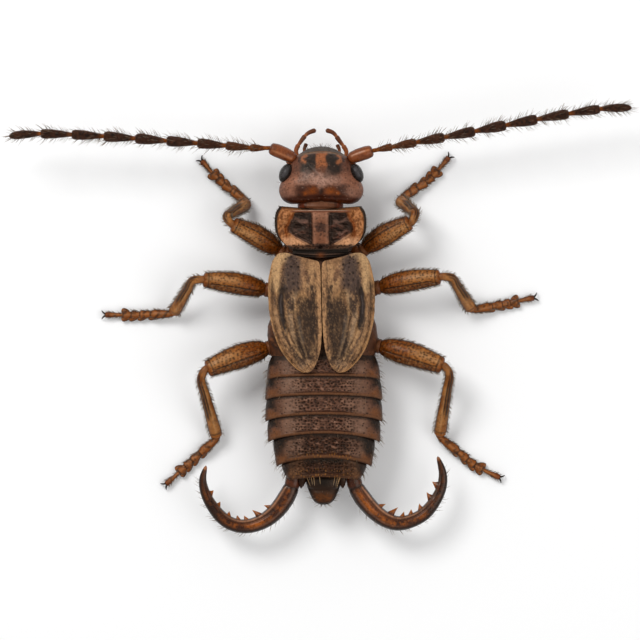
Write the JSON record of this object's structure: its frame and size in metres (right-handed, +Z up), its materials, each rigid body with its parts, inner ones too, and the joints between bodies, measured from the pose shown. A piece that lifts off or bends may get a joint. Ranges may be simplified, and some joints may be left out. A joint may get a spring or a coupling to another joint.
{
  "type": "earwig model",
  "caption": "Life-size still model of a large winged earwig with toothed curved pincers, long beaded feelers and spread legs, standing on its feet.",
  "frame": {"origin": "on the ground under the middle of the model's box, on the axis of the body", "axes": "+Z up, +Y towards the head, +X towards the animal's right side"},
  "size_m": [0.0386, 0.0266, 0.0046],
  "materials": {
    "head": "semi-gloss red-brown horn with fine pits",
    "eye": "glossy faceted black",
    "shield": "leathery brown with tan margins",
    "wing_case": "straw-coloured with dark streaks, finely grained",
    "body": "dark brown, wrinkled and pitted, tan hind edges",
    "feeler": "scaly dark brown with orange joints",
    "leg": "amber brown with dark ridges",
    "pincer": "polished chestnut, dark at the edges"
  },
  "bodies": {
    "root": {"abdomen_1": "body", "abdomen_2": "body", "abdomen_3": "body", "abdomen_4": "body", "abdomen_5": "body", "abdomen_6": "body", "coxa_fore_left": "leg", "coxa_fore_right": "leg", "coxa_hind_left": "leg", "coxa_hind_right": "leg", "coxa_mid_left": "leg", "coxa_mid_right": "leg", "end_plate": "body", "eye_left": "eye", "eye_right": "eye", "feeler_base_left": "leg", "feeler_base_right": "leg", "feeler_whip_left": "feeler", "feeler_whip_right": "feeler", "femur_fore_left": "leg", "femur_fore_right": "leg", "femur_hind_left": "leg", "femur_hind_right": "leg", "femur_mid_left": "leg", "femur_mid_right": "leg", "foot_fore_left": "leg", "foot_fore_right": "leg", "foot_hind_left": "leg", "foot_hind_right": "leg", "foot_mid_left": "leg", "foot_mid_right": "leg", "head": "head", "mesothorax": "body", "metathorax": "body", "mouthparts": "head", "neck": "leg", "palp_long_left": "leg", "palp_long_right": "leg", "palp_short_left": "leg", "palp_short_right": "leg", "pincer_left": "pincer", "pincer_right": "pincer", "prothorax": "body", "scutellum": "shield", "shield": "shield", "tibia_fore_left": "leg", "tibia_fore_right": "leg", "tibia_hind_left": "leg", "tibia_hind_right": "leg", "tibia_mid_left": "leg", "tibia_mid_right": "leg", "wing_case_left": "wing_case", "wing_case_right": "wing_case"}
  },
  "joints": []
}
